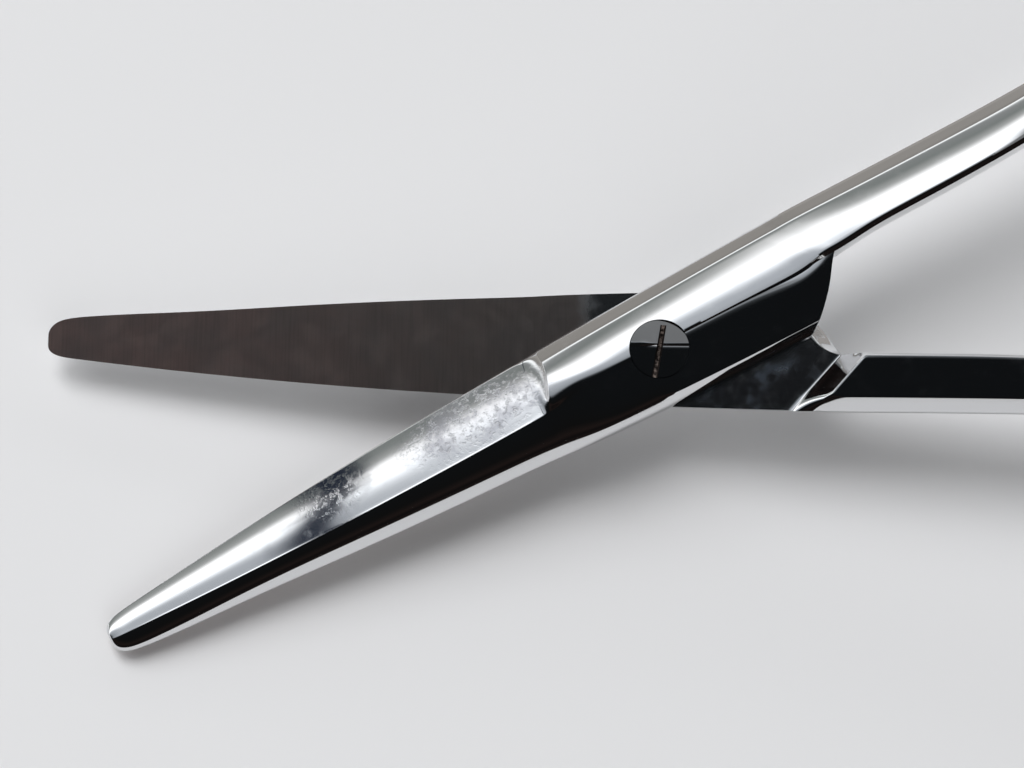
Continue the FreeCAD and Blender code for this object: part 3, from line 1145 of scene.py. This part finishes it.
def addSun():
    bpy.ops.object.light_add(type="SUN", location=(0, 0, 0.5))
    sun = bpy.context.object
    sun.name = "softSun"
    sun.data.angle = math.radians(room["sunSpread"])
    sun.data.energy = room["sunStrength"]
    sun.rotation_euler = Vector(room["sunFrom"]).to_track_quat("Z", "Y").to_euler()
    sun.visible_glossy = False   # the steel mirrors the world's windows instead


def addFill(name, direction, energy):
    away = Vector(direction).normalized()
    bpy.ops.object.light_add(type="AREA", location=away * room["fillDistance"] * mm)
    fill = bpy.context.object
    fill.name = name
    fill.data.size = room["fillSize"] * mm
    fill.data.energy = energy
    fill.rotation_euler = away.to_track_quat("Z", "Y").to_euler()
    fill.visible_glossy = False


def addTable():
    bpy.ops.object.select_all(action="DESELECT")
    slopeX, slopeY = room["tableSlopeX"], room["tableSlopeY"]
    drop = room["tableZ"] + slopeX * room["tableAt"][0] + slopeY * room["tableAt"][1]
    bpy.ops.mesh.primitive_plane_add(size=20, location=(0, 0, drop * mm))
    table = bpy.context.object
    table.name = "table"
    table.rotation_euler = Vector((slopeX, slopeY, 1)).to_track_quat("Z", "Y").to_euler()
    pale = bpy.data.materials.new("paleTable")
    pale.use_nodes = True
    shader = pale.node_tree.nodes["Principled BSDF"]
    shader.inputs["Base Color"].default_value = (0.79, 0.79, 0.8, 1)
    shader.inputs["Roughness"].default_value = 0.75
    table.data.materials.append(pale)


# What the steel mirrors, by the angle from straight up towards +Y: degrees, colour
skyBands = (
    (-180, (0.3, 0.3, 0.3)), (-89, (0.3, 0.3, 0.3)), (-88.5, (0.02, 0.02, 0.02)),
    (-87, (0.02, 0.02, 0.02)), (-86, (0.9, 0.9, 0.9)), (-83, (0.8, 0.8, 0.8)),
    (-79, (0.015, 0.011, 0.01)), (-55, (0.006, 0.005, 0.005)), (-38, (0.015, 0.0105, 0.0095)),
    (-20, (0.006, 0.006, 0.006)), (13, (0.006, 0.007, 0.008)), (17, (0.06, 0.065, 0.07)),
    (21, (0.32, 0.345, 0.37)), (33, (0.55, 0.58, 0.62)), (38, (1.5, 1.55, 1.6)),
    (49, (1.6, 1.6, 1.6)), (54, (0.5, 0.51, 0.5)), (60, (0.24, 0.26, 0.25)),
    (67, (0.3, 0.31, 0.31)), (71, (1.3, 1.35, 1.35)), (75, (1.3, 1.3, 1.3)),
    (76.5, (0.24, 0.235, 0.22)), (80, (0.29, 0.275, 0.255)), (87, (0.42, 0.4, 0.375)),
    (92, (0.4, 0.38, 0.36)),
    (180, (0.3, 0.3, 0.3)),
)
# A dark post between two windows, which the bevel shows as a dark patch, and a dimmer pane
# beside it. Leans are radians from straight up towards +Y.
post = {
    "x": 0.2, "slant": 0.249, "sharp": 0.006, "core": 0.02, "rim": 0.046, "rough": 0.008,
    "foot": (0.48, 0.4), "colour": (0.012, 0.018, 0.035, 1),
}
pane = {
    "side": (-0.01, 0.045), "top": (1.12, 1.0), "foot": (0.3, 0.45),
    "colour": (0.19, 0.195, 0.2, 1),
}


def addWorld():
    world = bpy.data.worlds.new("room")
    bpy.context.scene.world = world
    world.use_nodes = True
    tree = world.node_tree
    where = tree.nodes.new("ShaderNodeTexCoord").outputs["Generated"]
    split = tree.nodes.new("ShaderNodeSeparateXYZ")
    tree.links.new(where, split.inputs[0])
    side = split.outputs["X"]
    lean = calculate(tree, "ARCTAN2", split.outputs["Y"], split.outputs["Z"])
    bands = tree.nodes.new("ShaderNodeValToRGB")
    stops = bands.color_ramp.elements
    while len(stops) < len(skyBands):
        stops.new(0.5)
    for stop, (degrees, colour) in zip(stops, skyBands):
        stop.position = degrees / 360 + 0.5
        stop.color = (*colour, 1)
    turns = calculate(tree, "MULTIPLY_ADD", lean, 1 / math.tau, 0.5)
    tree.links.new(turns, bands.inputs["Fac"])
    rough = post["rough"]
    across = calculate(tree, "MULTIPLY_ADD", lean, post["slant"], post["x"])
    across = calculate(tree, "ADD", across, side)
    ragged = calculate(tree, "MULTIPLY_ADD", noise(tree, where, 14), 2 * rough, -rough)
    across = calculate(tree, "ADD", across, ragged)
    right = between(tree, across, 0, post["sharp"])
    left = between(tree, across, -post["core"], -post["rim"])
    clear = calculate(tree, "MAXIMUM", right, left)
    clear = calculate(tree, "MAXIMUM", clear, between(tree, lean, *post["foot"]))
    beside = between(tree, side, *pane["side"])
    dim = calculate(tree, "MULTIPLY", beside, between(tree, lean, *pane["top"]))
    dim = calculate(tree, "MULTIPLY", dim, between(tree, lean, *pane["foot"]))
    seen = blended(tree, dim, bands.outputs["Color"], pane["colour"])
    shade = blended(tree, clear, post["colour"], seen)
    tree.links.new(shade, tree.nodes["Background"].inputs["Color"])


def addRoom():
    addTable()
    addSun()
    addFill("fillLamp", room["fillFrom"], room["fillEnergy"])
    addFill("counterLamp", room["counterFrom"], room["counterEnergy"])
    addWorld()


addRoom()
bpy.context.scene.view_settings.view_transform = "Standard"
